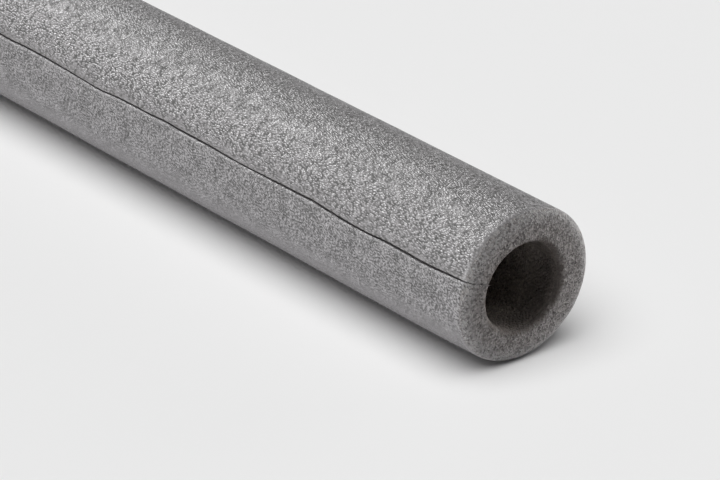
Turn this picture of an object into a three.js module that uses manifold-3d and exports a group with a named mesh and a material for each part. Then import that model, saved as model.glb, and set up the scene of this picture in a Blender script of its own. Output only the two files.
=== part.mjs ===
// Pipe insulation lagging: one straight length of grey closed-cell foam tube, lying on its side.
// A pipe goes through the bore, and a knife slit runs the whole length of one side, so that the
// tube can be opened and pushed over a pipe that is already in place.
// Units are millimetres and +Z is up. X runs along the tube. The origin is on the floor, under
// the middle of the tube.

import * as THREE from "three";
import { mergeVertices } from "three/addons/utils/BufferGeometryUtils.js";
import Module from "manifold-3d";

// Driving dimensions of the foam tube
const tubeLength = 1000;
const boreDiameter = 23; // goes over a 22 mm pipe
const wallThickness = 9;
const edgeRounding = 1.2; // the soft edges of both cut ends, outside and at the bore

// Driving dimensions of the slit, a narrow wedge cut in from the skin towards the bore
const slitElevation = 20; // degrees above the horizontal, on the -Y side
const slitDepth = 7; // leaves uncut foam between the slit and the bore
const slitMouth = 0.5; // width at the skin
const slitTip = 0.2; // width at the bottom of the cut

// How finely the round stretches are cut into flats
const flatsAround = 64; // even, so that a flat lies underneath
const roundingSteps = 3;

const foamGrey = 0x8a8987;

// Sizes that follow from the driving ones
const boreRadius = boreDiameter / 2;
const skinRadius = boreRadius + wallThickness;
const faceRadius = skinRadius - edgeRounding;
const halfFlat = Math.PI / flatsAround;
const axisHeight = faceRadius * Math.cos(halfFlat) + edgeRounding;

// A closed mesh as a solid that can be cut.
function solidOf(wasm, geometry) {
  const bare = geometry.clone();
  bare.deleteAttribute("normal");
  bare.deleteAttribute("uv");
  const merged = mergeVertices(bare);
  return new wasm.Manifold(
    new wasm.Mesh({
      numProp: 3,
      vertProperties: merged.attributes.position.array,
      triVerts: new Uint32Array(merged.index.array),
    }),
  );
}

// A cut solid as a mesh geometry again, with flat faces.
function geometryOf(solid) {
  const { vertProperties, triVerts } = solid.getMesh();
  const shared = new THREE.BufferGeometry();
  shared.setAttribute("position", new THREE.BufferAttribute(vertProperties, 3));
  shared.setIndex(new THREE.BufferAttribute(triVerts, 1));
  const flat = shared.toNonIndexed();
  flat.computeVertexNormals();
  return flat;
}

// A section drawn in Y and Z and extruded along X, with its middle at X = 0.
function alongX(section, length, options) {
  const bar = new THREE.ExtrudeGeometry(section, { depth: length, ...options });
  bar.translate(0, 0, -length / 2);
  bar.rotateX(Math.PI / 2);
  return bar.rotateZ(Math.PI / 2);
}

// A circle round the tube's axis as corner points, with the middle of a flat straight below it.
function circleOf(radius) {
  const corners = [];
  for (let i = 0; i < flatsAround; i += 1) {
    const angle = halfFlat * (2 * i + 1) - Math.PI / 2;
    const y = radius * Math.cos(angle);
    const z = axisHeight + radius * Math.sin(angle);
    corners.push(new THREE.Vector2(y, z));
  }
  return corners;
}

// The whole tube before it is slit. The section is the flat of a cut end, and the bevel rounds
// its edges out to the skin and in to the bore.
function wholeTube() {
  const section = new THREE.Shape(circleOf(faceRadius));
  section.holes.push(new THREE.Path(circleOf(boreRadius + edgeRounding)));
  return alongX(section, tubeLength - 2 * edgeRounding, {
    bevelThickness: edgeRounding,
    bevelSize: edgeRounding,
    bevelSegments: roundingSteps,
  });
}

// The foam that the knife takes away: a wedge that runs past the skin and past both ends.
function slitWedge() {
  const elevation = THREE.MathUtils.degToRad(slitElevation);
  const outward = new THREE.Vector2(-Math.cos(elevation), Math.sin(elevation));
  const across = new THREE.Vector2(-outward.y, outward.x);
  const corner = (distance, side) =>
    new THREE.Vector2(0, axisHeight)
      .addScaledVector(outward, distance)
      .addScaledVector(across, side);
  const bottom = skinRadius - slitDepth;
  const top = skinRadius + slitDepth;
  const bottomHalf = slitTip / 2;
  const topHalf = slitMouth - bottomHalf;
  const section = new THREE.Shape([
    corner(bottom, -bottomHalf),
    corner(top, -topHalf),
    corner(top, topHalf),
    corner(bottom, bottomHalf),
  ]);
  return alongX(section, tubeLength + 2 * wallThickness, { bevelEnabled: false });
}

const wasm = await Module();
wasm.setup();

const slitTube = solidOf(wasm, wholeTube()).subtract(solidOf(wasm, slitWedge()));

const foamTube = new THREE.Mesh(
  geometryOf(slitTube),
  new THREE.MeshStandardMaterial({ color: foamGrey, roughness: 0.6, metalness: 0 }),
);
foamTube.name = "foam_tube";

const lagging = new THREE.Group();
lagging.add(foamTube);

export default lagging;
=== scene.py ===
import math

import bpy
import numpy as np
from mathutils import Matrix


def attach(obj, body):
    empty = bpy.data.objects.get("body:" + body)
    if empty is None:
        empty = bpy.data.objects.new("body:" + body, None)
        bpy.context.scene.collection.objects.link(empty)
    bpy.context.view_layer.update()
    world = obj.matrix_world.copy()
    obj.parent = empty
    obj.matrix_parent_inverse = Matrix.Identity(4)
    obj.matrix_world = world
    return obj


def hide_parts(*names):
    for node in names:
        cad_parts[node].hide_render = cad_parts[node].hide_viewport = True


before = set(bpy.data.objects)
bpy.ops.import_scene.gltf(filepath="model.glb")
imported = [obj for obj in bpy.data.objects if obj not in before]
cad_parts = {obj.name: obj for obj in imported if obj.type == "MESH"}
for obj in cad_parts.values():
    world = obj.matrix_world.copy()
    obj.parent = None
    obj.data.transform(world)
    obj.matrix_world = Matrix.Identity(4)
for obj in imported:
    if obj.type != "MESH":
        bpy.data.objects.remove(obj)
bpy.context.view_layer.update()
print("packed tube loaded")

# The shape of the foam tube, in millimetres. It lies along X, with its near cut end at +X and its
# slit on the -Y side.
tube = {
    "length": 1000.0,
    "boreRadius": 11.5,
    "skinRadius": 20.5,
    "axisHeight": 20.477,
    "rim": (3.2, 2.0),  # how far the cut foam rounds off towards the skin, inwards and along X
    "mouth": (1.3, 2.2),  # and towards the bore
    "cutOut": 0.45,  # how far the middle of the cut foam swells out past the square cut
    "cutDome": 0.003,  # fall of the cut end per mm squared, about the middle of the wall
    "nearCutLean": (-0.01, 0.06),  # how far the knife ran off square, for each mm along Y and Z
    "farCutLean": (0.018, -0.02),
    "cutReach": 14.0,  # how far in from a cut end its swelling and its lean fade out
    "nearLift": (0.8, 11.0),  # how far the underside draws up at the near end, and how that fades
    "boreShift": (-1.3, 0.83),  # the bore is off centre at the near end and evens out inside
    "boreShiftReach": 90.0,
    "skinWaves": ((26.0, 0.05), (9.0, 0.03)),  # size and height of the soft unevenness
    "cutWaves": ((5.0, 0.10), (1.1, 0.05)),  # and of that on the cut ends
    "cutWavesFrom": 40.0,  # where their pattern starts, off to one side
    "cutWavesReach": 1.5,
    "columnsAround": 226,
    "ringSpacing": 2.1,
    "ringSpacingFarOff": 8.2,
    "ringGap": 1.0,  # least distance between two stretches of rings
    "fineReach": 264.0,  # how far the close rings go from the near end
    "rimRings": 18,
    "faceRings": 9,
    "mouthRings": 7,
    "boreRings": (0.9, 2.2, 4, 6.5, 10, 15, 22, 32, 46, 66, 95, 135, 190, 260, 340, 420),  # past the mouth
    "skinOverRim": 4,  # rings of the rim that still have the skin
    "boreOverMouth": 2,  # rings of the mouth that have the bore's wall
}
skinAround = 2 * math.pi * tube["skinRadius"]
skinSlot, cutSlot, boreSlot = 0, 1, 2  # the tube's material slots

slit = {
    "angle": 160.0,  # degrees from +Y towards +Z
    "depth": 7.0,
    "halfMouth": 0.25,  # half the gap at the skin
    "halfInside": 0.03,  # the two sides all but touch inside
    "closesOver": 0.7,
    "lipDrop": 0.26,  # how far the lips roll in
    "lipReach": 0.24,
    "lipColumns": (0.0, 0.06, 0.14, 0.26, 0.42, 0.64, 0.92),  # from the edge of the gap
    "pastLips": 0.3,  # from the last of these to the even columns
    "wander": ((23.0, 0.5), (7.0, 0.16)),  # lengths over which the knife strayed, and how far
    "wanderReach": 5.0,  # how far beside the slit the skin's columns stray with it
    "gapWaves": ((23.0, 0.35),),  # length over which the gap varies, and by what share
    "gapReach": 1.2,  # how far beside the slit the skin's columns make room for it
    "gapAtCutEnd": (0.3, 2.5),  # share of the gap that is left there, and how that fades
    "gapFarOff": (0.85, 220.0),  # and well away from the near end
    "wallDepths": (0.1, 0.3, 0.7, 1.4, 2.6, 4.4, 6.0),
    "rimFade": 3.0,  # depth in the slit at which the rounding of the rim is gone
}
seeds = {"gap": 5, "wander": 6, "skinWaves": 11, "cutWaves": 21}


# Smooth random heights from -1 to 1. Random values on a lattice of cells are blended by the ease
# curve 3t^2 - 2t^3 both ways. With wrap, whole cells fit round it, so the pattern closes.
def softNoise(u, v, cell, seed, wrap=None):
    rows = 512  # cells after which the pattern repeats
    columns = max(1, round(wrap / cell)) if wrap else rows
    heights = np.random.default_rng(seed).uniform(-1.0, 1.0, (columns, rows))
    a = u / (wrap / columns if wrap else cell)
    b = v / cell
    i, j = np.floor(a).astype(int), np.floor(b).astype(int)
    s, t = a - i, b - j
    s, t = s * s * (3 - 2 * s), t * t * (3 - 2 * t)
    left, right, low, high = i % columns, (i + 1) % columns, j % rows, (j + 1) % rows
    lower = heights[left, low] * (1 - s) + heights[right, low] * s
    upper = heights[left, high] * (1 - s) + heights[right, high] * s
    return lower * (1 - t) + upper * t


# The sum of several such noises, each with its own cell size and height.
def layeredNoise(u, v, layers, seed, wrap=None):
    return sum(h * softNoise(u, v, c, seed + k, wrap) for k, (c, h) in enumerate(layers))


# The lines that run along the tube, in turn: from the slit's lower lip round underneath and over
# the top to its upper lip, then down one wall of the slit and up the other. Each has its arc
# distance from the slit, its depth below the skin and the side of the slit that it stands on.
def tubeColumns():
    lip = slit["halfMouth"] + np.array(slit["lipColumns"])
    free = lip[-1] + slit["pastLips"]
    middle = np.linspace(free, skinAround - free, tube["columnsAround"])
    skinArc = np.concatenate([lip, middle, skinAround - lip[::-1]])
    wall = np.array(slit["wallDepths"])
    wallDepth = np.concatenate([wall, [slit["depth"]], wall[::-1]])
    wallArc = np.concatenate([wall, [slit["depth"]], 2 * slit["depth"] - wall[::-1]])
    side = np.concatenate([-np.ones(len(wall)), [0.0], np.ones(len(wall))])
    arc = np.concatenate([skinArc, skinAround + wallArc])
    depth = np.concatenate([0 * skinArc, wallDepth])
    return arc, depth, np.concatenate([0 * skinArc, side])


# One stretch of rings, with a row for each. A ring has its X, its share of the way from the bore to
# the skin, its inset from the skin, its outset from the bore and the slot of the surface that
# starts there. A single number holds for the whole stretch.
def ringRows(x, share, inset, outset, slot):
    return np.stack(np.broadcast_arrays(x, share, inset, outset, slot), 1)


# The rings of the tube, in turn: along the skin, round the near end's rim by a quarter ellipse,
# across its face, into the bore by another, through the bore, and the same way back out of the far
# end, where X is negative.
def tubeRings():
    half = tube["length"] / 2
    (rimIn, rimAlong), (mouthOut, mouthAlong) = tube["rim"], tube["mouth"]
    fineFrom, gap = half - tube["fineReach"], tube["ringGap"]
    x = np.concatenate([
        np.arange(-half + rimAlong + 2 * gap, fineFrom - gap, tube["ringSpacingFarOff"]),
        np.arange(fineFrom, half - rimAlong - gap, tube["ringSpacing"]),
    ])
    skin = ringRows(x, 1, 0, 0, skinSlot)
    turn = np.linspace(0, math.pi / 2, tube["rimRings"])
    rim = ringRows(half - rimAlong * (1 - np.sin(turn)), 1, rimIn * (1 - np.cos(turn)), 0, cutSlot)
    rim[: tube["skinOverRim"], -1] = skinSlot
    across = np.linspace(1, 0, tube["faceRings"] + 2)[1:-1]
    face = ringRows(half, across, rimIn, mouthOut, cutSlot)
    turn = np.linspace(0, math.pi / 2, tube["mouthRings"])
    mouth = ringRows(half - mouthAlong * (1 - np.cos(turn)), 0, 0, mouthOut * (1 - np.sin(turn)), cutSlot)
    mouth[-tube["boreOverMouth"] :, -1] = boreSlot
    inward = mouthAlong + np.array(tube["boreRings"])
    bore = ringRows(half - inward, 0, 0, 0, boreSlot)
    nearEnd = np.concatenate([rim, face, mouth, bore])
    farEnd = nearEnd[::-1] * [-1, 1, 1, 1, 1]
    farEnd[:, -1] = np.append(farEnd[1:, -1], skinSlot)
    return np.concatenate([skin, nearEnd, farEnd]).T[:, :, None]


# The whole surface as one grid of rings by columns that closes both ways. A point's radius is that
# of the skin or the bore, less the rolled-in lips, the roundings and the lift below the near end,
# plus soft noise. Its angle is its arc distance over the skin's radius, and the slit's walls stand
# along a radius. The bore's shift decays along X, and at a cut end X has a lean and a dome added,
# times a bell curve, with soft noise of its own.
def tubeSurface():
    arc, depth, side = tubeColumns()
    x, share, inset, outset, slot = tubeRings()
    skinRadius, half = tube["skinRadius"], tube["length"] / 2
    fromNear, fromFar = half - x, half + x
    toEnd = np.minimum(fromNear, fromFar)

    (atEnd, endReach), (farOff, nearReach) = slit["gapAtCutEnd"], slit["gapFarOff"]
    gap = slit["halfMouth"] * (1 + layeredNoise(x, 0 * x, slit["gapWaves"], seeds["gap"]))
    gap = gap * (1 - (1 - atEnd) * np.exp(-toEnd / endReach))
    gap = gap * (farOff + (1 - farOff) * np.exp(-((fromNear / nearReach) ** 2)))
    wander = layeredNoise(x, 0 * x, slit["wander"], seeds["wander"])

    onSkin = depth == 0
    fromSlit = np.where(arc < skinAround / 2, arc, arc - skinAround)
    offLip = np.clip(np.abs(fromSlit) - slit["halfMouth"], 0, None)
    skinArc = fromSlit + np.sign(fromSlit) * (gap - slit["halfMouth"]) * np.exp(-offLip / slit["gapReach"])
    skinArc = skinArc + wander * np.exp(-np.abs(fromSlit) / slit["wanderReach"])
    openHalf = slit["halfInside"] + (gap - slit["halfInside"]) * np.exp(-depth / slit["closesOver"])
    wallArc = (side * openHalf + wander) * skinRadius / (skinRadius - depth)
    angle = math.radians(slit["angle"]) + np.where(onSkin, skinArc, wallArc) / skinRadius

    wrapArc = np.where(onSkin, arc, 0.0)
    waves = layeredNoise(wrapArc, x, tube["skinWaves"], seeds["skinWaves"], skinAround)
    rolledIn = slit["lipDrop"] * np.exp(-offLip / slit["lipReach"])
    outer = skinRadius + waves - np.where(onSkin, rolledIn, slit["lipDrop"] + depth)
    rimInset = inset * np.clip(1 - depth / slit["rimFade"], 0, 1)
    lift, liftReach = tube["nearLift"]
    drawnUp = lift * np.clip(-np.sin(angle), 0, 1) ** 2 * np.exp(-fromNear / liftReach)
    radius = share * (outer - rimInset - drawnUp) + (1 - share) * (tube["boreRadius"] + outset)
    shift = (1 - share) * np.exp(-fromNear / tube["boreShiftReach"])
    shiftY, shiftZ = tube["boreShift"]
    y = radius * np.cos(angle) + shift * shiftY
    z = radius * np.sin(angle) + shift * shiftZ

    reach, (nearY, nearZ), (farY, farZ) = tube["cutReach"], tube["nearCutLean"], tube["farCutLean"]
    middle = (tube["boreRadius"] + skinRadius) / 2
    dome = tube["cutOut"] + tube["cutDome"] * (middle**2 - y**2 - z**2)
    nearLean = (y * nearY + z * nearZ + dome) * np.exp(-((fromNear / reach) ** 2))
    farLean = (y * farY + z * farZ - dome) * np.exp(-((fromFar / reach) ** 2))
    offset = tube["cutWavesFrom"]
    relief = layeredNoise(y + offset, z + offset, tube["cutWaves"], seeds["cutWaves"])
    x = x + nearLean + farLean + np.sign(x) * relief * np.exp(-((toEnd / tube["cutWavesReach"]) ** 2))
    z = np.maximum(z + tube["axisHeight"], 0.0)  # flat where it lies on the floor
    fromBore = share * (skinRadius - tube["boreRadius"] - inset) + (1 - share) * outset
    return np.stack([x, y, z], -1) / 1000, arc / 1000, fromBore[:, 0], slot[:, 0].astype(int)


# Joins a grid that closes both ways into quads, each ring of them with its own material slot. The
# UV map is in metres: the arc distance from the slit, and the way along the wall's section. The
# attribute fromBore is the distance from the wall of the bore, in millimetres.
def closedGrid(name, points, arc, fromBore, slot, materials):
    rings, columns = points.shape[:2]
    index = np.arange(rings * columns).reshape(rings, columns)
    nextColumn = np.roll(index, -1, 1)
    quads = np.stack([index, nextColumn, np.roll(nextColumn, -1, 0), np.roll(index, -1, 0)], -1)
    mesh = bpy.data.meshes.new(name)
    mesh.from_pydata(points.reshape(-1, 3), [], quads.reshape(-1, 4).tolist())

    middle = points[:, columns // 2]
    steps = np.linalg.norm(np.diff(middle, axis=0, append=middle[:1]), axis=1)
    along = middle[0, 0] + np.concatenate([[0.0], np.cumsum(steps)])
    across = np.append(arc, 2 * arc[-1] - arc[-2])
    uv = np.empty((rings, columns, 4, 2))
    uv[..., 0] = np.stack([across[:-1], across[1:], across[1:], across[:-1]], -1)
    uv[..., 1] = np.stack([along[:-1], along[:-1], along[1:], along[1:]], -1)[:, None]
    mesh.uv_layers.new(name="wrapMap").data.foreach_set("uv", uv.astype(np.float32).ravel())

    nearness = mesh.attributes.new("fromBore", "FLOAT", "POINT")
    nearness.data.foreach_set("value", np.repeat(fromBore, columns).astype(np.float32))

    for material in materials:
        mesh.materials.append(material)
    mesh.polygons.foreach_set("material_index", np.repeat(slot, columns).astype(np.int32))
    mesh.polygons.foreach_set("use_smooth", np.ones(rings * columns, bool))
    mesh.update()
    piece = bpy.data.objects.new(name, mesh)
    bpy.context.scene.collection.objects.link(piece)
    return piece


# An sRGB hex colour as the linear colour that the shader takes.
def linearColour(hexText):
    parts = [int(hexText[k : k + 2], 16) / 255 for k in (1, 3, 5)]
    return [p / 12.92 if p <= 0.04045 else ((p + 0.055) / 1.055) ** 2.4 for p in parts] + [1.0]


# Adds one node with its settings to a material or to the world. An input is given a value, or the
# node or socket that feeds it. A node feeds it from its first enabled output.
def addNode(owner, kind, settings=None, inputs=None):
    tree = owner.node_tree
    node = tree.nodes.new(kind)
    for name, value in (settings or {}).items():
        setattr(node, name, value)
    for name, value in (inputs or {}).items():
        if isinstance(value, bpy.types.Node):
            value = next(output for output in value.outputs if output.enabled)
        if isinstance(value, bpy.types.NodeSocket):
            tree.links.new(value, node.inputs[name])
        else:
            node.inputs[name].default_value = value
    return node


def emptyMaterial(name):
    material = bpy.data.materials.new(name)
    material.use_nodes = True
    material.node_tree.nodes.clear()
    return material


# The finishes of the foam: its skin, its cut ends and the wall of its bore.
foam = {
    "skinColour": "#959293",
    "highlightAndPaleColour": "#c6c4c5",  # painted highlight on the pebble tops, streaks and lower lip; also paler patches
    "shadeAndStainColour": "#545352",  # painted shade in the gaps and dimples; also small stains
    "skinRoughness": 0.19,
    "gapRoughness": 0.35,  # added in the dull gaps
    "draggedRoughness": 0.4,  # and where the knife dragged on the skin
    "pebble": (0.45, 1.08),  # mm from one pebble of the skin to the next, around and along
    "pebbleHeight": 0.14,
    "bends": 1.2,  # of the rows of pebbles, for each mm
    "bendSize": 0.25,
    "grit": (0.3, 0.6),
    "gritHeight": 0.09,
    "mottle": 1.8,  # mm across the small stains that run over a few pebbles
    "patch": 4.5,  # mm across the patches where the pebbles stand up more or less
    "patchStray": 6.0,  # mm by which these patches shift the edges of the bands below
    "lowBand": (5.0, 25.0),  # mm below the slit, where the pebbles get lower
    "backBand": (30.0, 50.0),  # and where they stand up again
    "dimpleBand": (12.0, 28.0),  # and where the dimples fade out
    "upperLipBand": (-1.0, 3.0),  # mm past the slit's upper lip, where they are a little lower
    "lipHighlightBand": (1.2, 0.45),  # mm below the slit, where its lower lip gets a painted highlight
    "pressedBand": (3.5, 1.0),  # mm from the cut ends, where the pebbles are pressed flat
    "dimple": (0.74, 0.36),  # length and width of the dimples below the slit
    "dimpleTurn": 66.0,  # degrees from the way round towards the way along
    "dimpleHeight": 0.18,
    "cutColour": "#b4afac",
    "cellColour": "#383332",
    "rimLightColour": "#b8b7b7",  # painted light at the thin edge of the cut, where light gets through
    "cell": 0.46,  # mm across a cell that the knife opened
    "cellHeight": 0.28,
    "cloud": 2.0,  # mm across the soft clouds of the cut
    "rimBand": (4.0, 8.4),  # mm from the bore's wall, where the cut is painted lighter
    "mouthShadeBand": (2.2, 0.2),  # and where its inner edge is painted dark, as shade at the bore's mouth
    "lightReach": 3.0,  # mm that light spreads through the foam
    "boreColour": "#c2b8af",
    "boreShade": "#59524d",
    "boreGrains": 1.5,  # torn spots of the bore for each mm
    "boreClouds": 0.3,  # and soft clouds
    "boreHeight": 0.6,
    "endShadeBand": (12.0, 3.0),  # mm from the cut ends, where the bore is painted darker as shade
}


# Settings that many nodes share. Inputs that go by number are the value, from min, from max, to min
# and to max of a Map Range, and 0, 6 and 7 are the factor and the two colours of a Mix.
flat = {"noise_dimensions": "2D"}
softRange = {"interpolation_type": "SMOOTHSTEP"}
times = {"operation": "MULTIPLY"}
timesPlus = {"operation": "MULTIPLY_ADD"}
larger = {"operation": "MAXIMUM"}
ofColours = {"data_type": "RGBA"}


# Grey polyethylene foam, extruded: the die leaves a thin closed skin, which the gas cells under it
# push up into small glossy pebbles with dull gaps between them. A painted highlight on the tops and
# painted shade in the gaps give it its sparkle. The pebbles are drawn a little larger than real ones
# so that they show.
def extrudedFoamSkin():
    material = emptyMaterial("extrudedPolyethyleneFoamSkin")
    wrap = addNode(material, "ShaderNodeUVMap", {"uv_map": "wrapMap"})
    mm = addNode(material, "ShaderNodeMapping", None, {"Vector": wrap, "Scale": (1000, 1000, 1000)})
    part = addNode(material, "ShaderNodeSeparateXYZ", None, {"Vector": mm})
    fromSlit, along = part.outputs["X"], part.outputs["Y"]

    # how high the pebbles stand: lower by the slit, low below it, uneven in patches, and pressed
    # flat at the cut ends
    patches = {"Vector": mm, "Scale": 1 / foam["patch"], "Detail": 2.0}
    patch = addNode(material, "ShaderNodeTexNoise", flat, patches)
    strayed = addNode(material, "ShaderNodeMath", timesPlus, {0: patch, 1: foam["patchStray"], 2: fromSlit})
    start, end = foam["upperLipBand"]
    upperLip = {0: strayed, 1: skinAround + start, 2: skinAround + end, 3: 1.0, 4: 0.8}
    aboveSlit = addNode(material, "ShaderNodeMapRange", softRange, upperLip)
    start, end = foam["lowBand"]
    underSide = {0: strayed, 1: start, 2: end, 3: 0.7, 4: 0.2}
    underSide = addNode(material, "ShaderNodeMapRange", softRange, underSide)
    start, end = foam["backBand"]
    farSide = {0: strayed, 1: start, 2: end, 3: 0.0, 4: 1.0}
    farSide = addNode(material, "ShaderNodeMapRange", softRange, farSide)
    share = addNode(material, "ShaderNodeMath", larger, {0: underSide, 1: farSide})
    share = addNode(material, "ShaderNodeMath", {"operation": "MINIMUM"}, {0: share, 1: aboveSlit})
    uneven = addNode(material, "ShaderNodeMapRange", softRange, {0: patch, 1: 0.34, 2: 0.62, 3: 0.82, 4: 1.15})
    fromMiddle = addNode(material, "ShaderNodeMath", {"operation": "ABSOLUTE"}, {0: along})
    start, end = (tube["length"] / 2 - away for away in foam["pressedBand"])
    nearCut = {0: fromMiddle, 1: start, 2: end, 3: 1.0, 4: 0.2}
    offCut = addNode(material, "ShaderNodeMapRange", softRange, nearCut)
    standing = addNode(material, "ShaderNodeMath", times, {0: share, 1: uneven})
    standing = addNode(material, "ShaderNodeMath", times, {0: standing, 1: offCut})

    # the pebbles themselves, separate domes of uneven height, with grit over them
    width, length = foam["pebble"]
    bends = {"Vector": mm, "Scale": foam["bends"], "Detail": 1.0}
    bent = addNode(material, "ShaderNodeTexNoise", flat, bends).outputs["Color"]
    bendSize = (foam["bendSize"], foam["bendSize"], 0.0)
    bend = addNode(material, "ShaderNodeVectorMath", timesPlus, {0: bent, 1: bendSize, 2: mm})
    spaced = addNode(material, "ShaderNodeMapping", None, {"Vector": bend, "Scale": (1 / width, 1 / length, 1)})
    domes = {"Vector": spaced, "Scale": 1.0}
    cells = addNode(material, "ShaderNodeTexVoronoi", {"voronoi_dimensions": "2D"}, domes)
    chance = addNode(material, "ShaderNodeSeparateColor", None, {"Color": cells.outputs["Color"]})
    tall = addNode(material, "ShaderNodeMath", timesPlus, {0: chance, 1: 0.6, 2: 0.4})
    rounded = addNode(material, "ShaderNodeMapRange", softRange, {0: cells, 1: 0.6, 2: 0.0, 3: 0.0, 4: 1.0})
    dome = addNode(material, "ShaderNodeMath", times, {0: rounded, 1: tall})
    width, length = foam["grit"]
    gritMap = addNode(material, "ShaderNodeMapping", None, {"Vector": mm, "Scale": (1 / width, 1 / length, 1)})
    grit = addNode(material, "ShaderNodeTexNoise", flat, {"Vector": gritMap, "Scale": 1.0, "Detail": 2.0})
    gritShare = foam["gritHeight"] / foam["pebbleHeight"]
    rough = addNode(material, "ShaderNodeMath", timesPlus, {0: grit, 1: gritShare, 2: dome})
    height = addNode(material, "ShaderNodeMath", times, {0: rough, 1: standing})
    relief = {"Height": height, "Strength": 1.0, "Distance": foam["pebbleHeight"] / 1000}
    pebbled = addNode(material, "ShaderNodeBump", None, relief)

    # dimples, and painted highlight streaks, drawn out on the way over the lower side
    turn = (0, 0, math.radians(foam["dimpleTurn"]))
    drawn = {"Vector": mm, "Rotation": turn, "Scale": (*foam["dimple"], 1)}
    turned = addNode(material, "ShaderNodeMapping", {"vector_type": "TEXTURE"}, drawn)
    streaks = addNode(material, "ShaderNodeTexNoise", flat, {"Vector": turned, "Scale": 1.0, "Detail": 1.5})
    clumped = addNode(material, "ShaderNodeMath", timesPlus, {0: patch, 1: 0.25, 2: -0.125})
    clustered = addNode(material, "ShaderNodeMath", {"operation": "ADD"}, {0: clumped, 1: streaks})
    start, end = foam["dimpleBand"]
    onLowSide = {0: strayed, 1: start, 2: end, 3: 1.0, 4: 0.0}
    onLowSide = addNode(material, "ShaderNodeMapRange", softRange, onLowSide)
    deep = addNode(material, "ShaderNodeMapRange", softRange, {0: clustered, 1: 0.53, 2: 0.61, 3: 0.0, 4: 1.0})
    dimples = addNode(material, "ShaderNodeMath", times, {0: deep, 1: onLowSide})
    relief = {"Height": dimples, "Strength": 1.0, "Distance": foam["dimpleHeight"] / 1000, "Normal": pebbled}
    normal = addNode(material, "ShaderNodeBump", {"invert": True}, relief)

    # painted shade in the gaps and dimples, darker stains, then painted highlights on the pebble tops,
    # on streaks below the slit and on the slit's lower lip, and paler patches
    # painted shade in the gaps between the pebbles and in the dimples
    apart = addNode(material, "ShaderNodeMapRange", softRange, {0: cells, 1: 0.18, 2: 0.67, 3: 0.0, 4: 0.9})
    shadedGaps = addNode(material, "ShaderNodeMath", times, {0: apart, 1: standing})
    dullAndShaded = addNode(material, "ShaderNodeMath", larger, {0: shadedGaps, 1: dimples})
    stains = {"Vector": mm, "Scale": 1 / foam["mottle"], "Detail": 3.0}
    mottle = addNode(material, "ShaderNodeTexNoise", flat, stains)
    stained = addNode(material, "ShaderNodeMapRange", softRange, {0: mottle, 1: 0.5, 2: 0.66, 3: 0.0, 4: 0.5})
    dullAndShaded = addNode(material, "ShaderNodeMath", timesPlus, {0: stained, 1: standing, 2: dullAndShaded})
    base, shadeAndStain, pale = (linearColour(foam[tone]) for tone in ("skinColour", "shadeAndStainColour", "highlightAndPaleColour"))
    dark = addNode(material, "ShaderNodeMix", ofColours, {0: dullAndShaded, 6: base, 7: shadeAndStain})
    # painted highlight on the tops of the pebbles
    topHighlight = addNode(material, "ShaderNodeMapRange", softRange, {0: cells, 1: 0.5, 2: 0.0, 3: 0.0, 4: 0.6})
    topHighlight = addNode(material, "ShaderNodeMath", times, {0: topHighlight, 1: tall})
    topHighlight = addNode(material, "ShaderNodeMath", times, {0: topHighlight, 1: standing})
    # painted highlight streaks below the slit
    streakHighlight = {0: clustered, 1: 0.45, 2: 0.36, 3: 0.0, 4: 0.55}
    streakHighlight = addNode(material, "ShaderNodeMapRange", softRange, streakHighlight)
    streakHighlight = addNode(material, "ShaderNodeMath", times, {0: streakHighlight, 1: onLowSide})
    # painted highlight along the slit's lower lip
    start, end = foam["lipHighlightBand"]
    lip = addNode(material, "ShaderNodeMapRange", softRange, {0: fromSlit, 1: start, 2: end, 3: 0.0, 4: 1.0})
    lipHighlight = addNode(material, "ShaderNodeMapRange", softRange, {0: grit, 1: 0.42, 2: 0.6, 3: 0.1, 4: 1.0})
    lipHighlight = addNode(material, "ShaderNodeMath", times, {0: lipHighlight, 1: lip})
    light = addNode(material, "ShaderNodeMath", larger, {0: topHighlight, 1: streakHighlight})
    light = addNode(material, "ShaderNodeMath", larger, {0: light, 1: lipHighlight})
    paler = addNode(material, "ShaderNodeMapRange", softRange, {0: mottle, 1: 0.5, 2: 0.34, 3: 0.0, 4: 0.22})
    light = addNode(material, "ShaderNodeMath", timesPlus, {0: paler, 1: standing, 2: light})
    colour = addNode(material, "ShaderNodeMix", ofColours, {0: light, 6: dark, 7: pale})

    # the gaps are rougher than the pebbles, and so is the skin where the knife dragged on it
    most = foam["skinRoughness"] + foam["draggedRoughness"]
    worn = addNode(material, "ShaderNodeMath", timesPlus, {0: offCut, 1: -foam["draggedRoughness"], 2: most})
    roughness = addNode(material, "ShaderNodeMath", timesPlus, {0: dullAndShaded, 1: foam["gapRoughness"], 2: worn})
    surface = {"Base Color": colour, "Roughness": roughness, "Normal": normal}
    gloss = {"IOR": 1.5, "Specular IOR Level": 0.9}
    shader = addNode(material, "ShaderNodeBsdfPrincipled", None, surface | gloss)
    addNode(material, "ShaderNodeOutputMaterial", None, {"Surface": shader})
    return material
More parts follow.
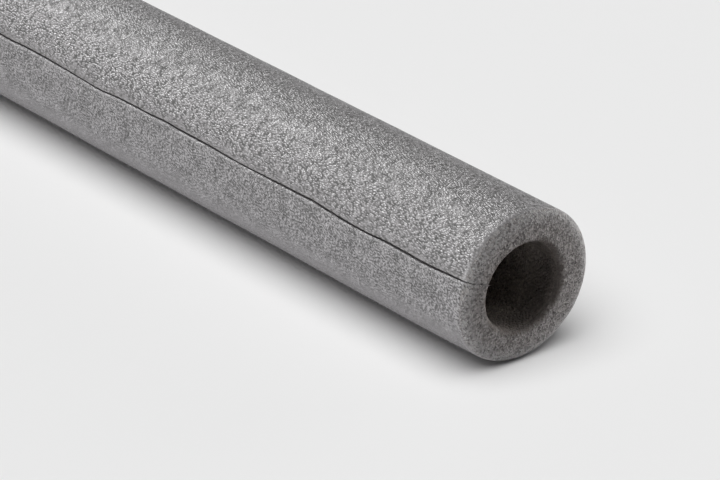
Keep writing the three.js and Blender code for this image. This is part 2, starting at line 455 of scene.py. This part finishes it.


# The same foam cut through with a knife: thousands of opened cells, so a matt fine-grained surface
# without a skin. Light spreads through it, and its thin outer edge is painted lighter as the light
# that gets through; its inner edge is painted dark as shade at the bore's mouth. The cells are drawn
# a little coarser than real ones so that they show.
def cutFoam():
    material = emptyMaterial("cutPolyethyleneFoam")
    place = addNode(material, "ShaderNodeTexCoord").outputs["Object"]
    mm = addNode(material, "ShaderNodeMapping", None, {"Vector": place, "Scale": (1000, 1000, 1000)})
    cells = addNode(material, "ShaderNodeTexVoronoi", None, {"Vector": mm, "Scale": 1 / foam["cell"]})
    shade = addNode(material, "ShaderNodeSeparateColor", None, {"Color": cells.outputs["Color"]})
    clouds = {"Vector": mm, "Scale": 1 / foam["cloud"], "Detail": 3.0}
    cloud = addNode(material, "ShaderNodeTexNoise", None, clouds)
    mixed = addNode(material, "ShaderNodeMath", timesPlus, {0: cloud, 1: 0.8, 2: shade})
    light = addNode(material, "ShaderNodeMapRange", None, {0: mixed, 1: 0.2, 2: 1.6, 3: 0.0, 4: 1.0})
    tones = ("cellColour", "cutColour", "rimLightColour", "boreShade")
    dark, pale, edge, mouthShade = (linearColour(foam[tone]) for tone in tones)
    colour = addNode(material, "ShaderNodeMix", ofColours, {0: light, 6: dark, 7: pale})

    fromBore = addNode(material, "ShaderNodeAttribute", {"attribute_name": "fromBore"}).outputs["Fac"]
    # painted light: the thin outer edge of the cut is coloured lighter
    start, end = foam["rimBand"]
    outward = {0: fromBore, 1: start, 2: end, 3: 0.0, 4: 1.0}
    outward = addNode(material, "ShaderNodeMapRange", softRange, outward)
    rimLight = addNode(material, "ShaderNodeMath", timesPlus, {0: shade, 1: 0.5, 2: 0.2})
    rimLight = addNode(material, "ShaderNodeMath", times, {0: rimLight, 1: outward})
    colour = addNode(material, "ShaderNodeMix", ofColours, {0: rimLight, 6: colour, 7: edge})
    # painted shade: the cut is coloured dark at the mouth of the bore
    mouthShadeMask = addNode(material, "ShaderNodeMath", timesPlus, {0: cloud, 1: 2.4, 2: -1.2})
    mouthShadeMask = addNode(material, "ShaderNodeMath", {"operation": "ADD"}, {0: mouthShadeMask, 1: fromBore})
    start, end = foam["mouthShadeBand"]
    mouthShadeMask = addNode(material, "ShaderNodeMapRange", softRange, {0: mouthShadeMask, 1: start, 2: end, 3: 0.0, 4: 0.85})
    colour = addNode(material, "ShaderNodeMix", ofColours, {0: mouthShadeMask, 6: colour, 7: mouthShade})
    relief = {"Height": cells, "Strength": 1.0, "Distance": foam["cellHeight"] / 1000}
    normal = addNode(material, "ShaderNodeBump", None, relief)
    surface = {"Base Color": colour, "Roughness": 0.8, "IOR": 1.5, "Normal": normal}
    spread = {"Subsurface Weight": 0.6, "Subsurface Radius": (1.0, 0.9, 0.85)}
    spread["Subsurface Scale"] = foam["lightReach"] / 1000
    shader = addNode(material, "ShaderNodeBsdfPrincipled", None, surface | spread)
    addNode(material, "ShaderNodeOutputMaterial", None, {"Surface": shader})
    return material


# The wall of the bore, torn a little by the die's core: dull and mottled, and painted darker by the
# ends, as shade at the bore's mouth.
def boreWall():
    material = emptyMaterial("extrudedPolyethyleneFoamBore")
    place = addNode(material, "ShaderNodeTexCoord").outputs["Object"]
    mm = addNode(material, "ShaderNodeMapping", None, {"Vector": place, "Scale": (1000, 1000, 1000)})
    cells = addNode(material, "ShaderNodeTexVoronoi", None, {"Vector": mm, "Scale": foam["boreGrains"]})
    relief = {"Height": cells, "Strength": 1.0, "Distance": foam["boreHeight"] / 1000}
    normal = addNode(material, "ShaderNodeBump", {"invert": True}, relief)
    shade = addNode(material, "ShaderNodeSeparateColor", None, {"Color": cells.outputs["Color"]})
    clouds = {"Vector": mm, "Scale": foam["boreClouds"], "Detail": 3.0}
    cloud = addNode(material, "ShaderNodeTexNoise", None, clouds)
    half = addNode(material, "ShaderNodeMath", times, {0: cloud, 1: 0.5})
    mottle = addNode(material, "ShaderNodeMath", timesPlus, {0: shade, 1: 0.5, 2: half})
    dark, pale = linearColour(foam["boreShade"]), linearColour(foam["boreColour"])
    colour = addNode(material, "ShaderNodeMix", ofColours, {0: mottle, 6: dark, 7: pale})
    along = addNode(material, "ShaderNodeSeparateXYZ", None, {"Vector": mm})
    fromMiddle = addNode(material, "ShaderNodeMath", {"operation": "ABSOLUTE"}, {0: along})
    # painted shade: the bore is coloured darker by the ends
    start, end = (tube["length"] / 2 - away for away in foam["endShadeBand"])
    endShade = {0: fromMiddle, 1: start, 2: end, 3: 0.0, 4: 0.7}
    endShade = addNode(material, "ShaderNodeMapRange", softRange, endShade)
    colour = addNode(material, "ShaderNodeMix", ofColours, {0: endShade, 6: colour, 7: dark})
    surface = {"Base Color": colour, "Roughness": 0.7, "IOR": 1.5, "Normal": normal}
    shader = addNode(material, "ShaderNodeBsdfPrincipled", None, surface)
    addNode(material, "ShaderNodeOutputMaterial", None, {"Surface": shader})
    return material


materials = [extrudedFoamSkin(), cutFoam(), boreWall()]
foamTube = closedGrid("foamTube", *tubeSurface(), materials)
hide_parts("foam_tube")
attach(foamTube, "root")
print("foam tube made:", 2 * len(foamTube.data.polygons), "triangles")

studio = {
    "floorColour": "#ececec",
    "floorGives": "#b9b9bb",
    "floorHalf": 6.0,  # metres from its middle to its edges
    "surroundColour": "#ebebeb",
    "surroundStrength": 0.05,
    "lamps": (  # name, way and height in degrees as seen from the tube, spread, strength, what it lights
        ("floorSoftbox", 308, 70, 62, 3.05, "floor"),
        ("leftSoftbox", 177, 31, 34, 2.15, "foamTube"),
        ("frontSoftbox", 262, 4, 36, 3.4, "foamTube"),
        ("backSoftbox", 95, 10, 40, 1.0, "foamTube"),
        ("backFill", 90, 12, 40, 0.3, None),  # lights everything
        ("endSoftbox", 45, 56, 46, 0.54, "foamTube"),
        ("endFill", 70, 8, 34, 1.7, "foamTube"),
    ),
}


# A plain matt paper floor, so pale that it takes nothing from the part. What it throws back on the
# part is less than what the camera sees of it, as the paper there is brightened by its own lamp.
def paperFloor():
    material = emptyMaterial("mattPaper")
    seen = addNode(material, "ShaderNodeBsdfDiffuse", None, {"Color": linearColour(studio["floorColour"])})
    giving = addNode(material, "ShaderNodeBsdfDiffuse", None, {"Color": linearColour(studio["floorGives"])})
    ray = addNode(material, "ShaderNodeLightPath").outputs["Is Camera Ray"]
    either = addNode(material, "ShaderNodeMixShader", None, {0: ray, 1: giving, 2: seen})
    addNode(material, "ShaderNodeOutputMaterial", None, {"Surface": either})
    reach = studio["floorHalf"]
    corners = [(-reach, -reach, 0), (reach, -reach, 0), (reach, reach, 0), (-reach, reach, 0)]
    mesh = bpy.data.meshes.new("floor")
    mesh.from_pydata(corners, [], [(0, 1, 2, 3)])
    mesh.materials.append(material)
    floor = bpy.data.objects.new("floor", mesh)
    bpy.context.scene.collection.objects.link(floor)


# A softbox as a far-off disc of light, so that it falls evenly on the floor. Its way is in degrees
# from +X towards +Y. With only, it lights that one object.
def studioLamp(name, way, height, spread, strength, only):
    lamp = bpy.data.lights.new(name, "SUN")
    lamp.angle = math.radians(spread)
    lamp.energy = strength
    holder = bpy.data.objects.new(name, lamp)
    holder.rotation_euler = (math.radians(90 - height), 0, math.radians(way + 90))
    bpy.context.scene.collection.objects.link(holder)
    if only:
        lit = bpy.data.collections.new(name + "Lit")
        lit.objects.link(bpy.data.objects[only])
        holder.light_linking.receiver_collection = lit


# An even surround. Seen behind the floor it is as pale as the floor, though it gives little light.
def studioSurround():
    world = bpy.data.worlds.new("surround")
    world.use_nodes = True
    world.node_tree.nodes.clear()
    colour, strength = linearColour(studio["surroundColour"]), studio["surroundStrength"]
    giving = addNode(world, "ShaderNodeBackground", None, {"Color": colour, "Strength": strength})
    seen = addNode(world, "ShaderNodeBackground", None, {"Color": colour})
    ray = addNode(world, "ShaderNodeLightPath").outputs["Is Camera Ray"]
    either = addNode(world, "ShaderNodeMixShader", None, {0: ray, 1: giving, 2: seen})
    addNode(world, "ShaderNodeOutputWorld", None, {"Surface": either})
    bpy.context.scene.world = world


paperFloor()
studioSurround()
for lampFacts in studio["lamps"]:
    studioLamp(*lampFacts)
bpy.context.scene.view_settings.view_transform = "Standard"
print("studio set")

view = {
    "place": (1.1740, -0.5880, 0.4565),  # metres
    "pitch": 25.344,  # degrees down
    "turn": 51.472,  # degrees from +Y towards -X
    "lens": 206.0,
    "sensorWidth": 36.0,
    "clipStart": 0.05,
}
camera = bpy.data.cameras.new("camera")
camera.lens = view["lens"]
camera.sensor_width = view["sensorWidth"]
camera.clip_start = view["clipStart"]
cameraHolder = bpy.data.objects.new("camera", camera)
cameraHolder.location = view["place"]
cameraHolder.rotation_euler = (math.radians(90 - view["pitch"]), 0, math.radians(view["turn"]))
bpy.context.scene.collection.objects.link(cameraHolder)
bpy.context.scene.camera = cameraHolder
print("camera set")
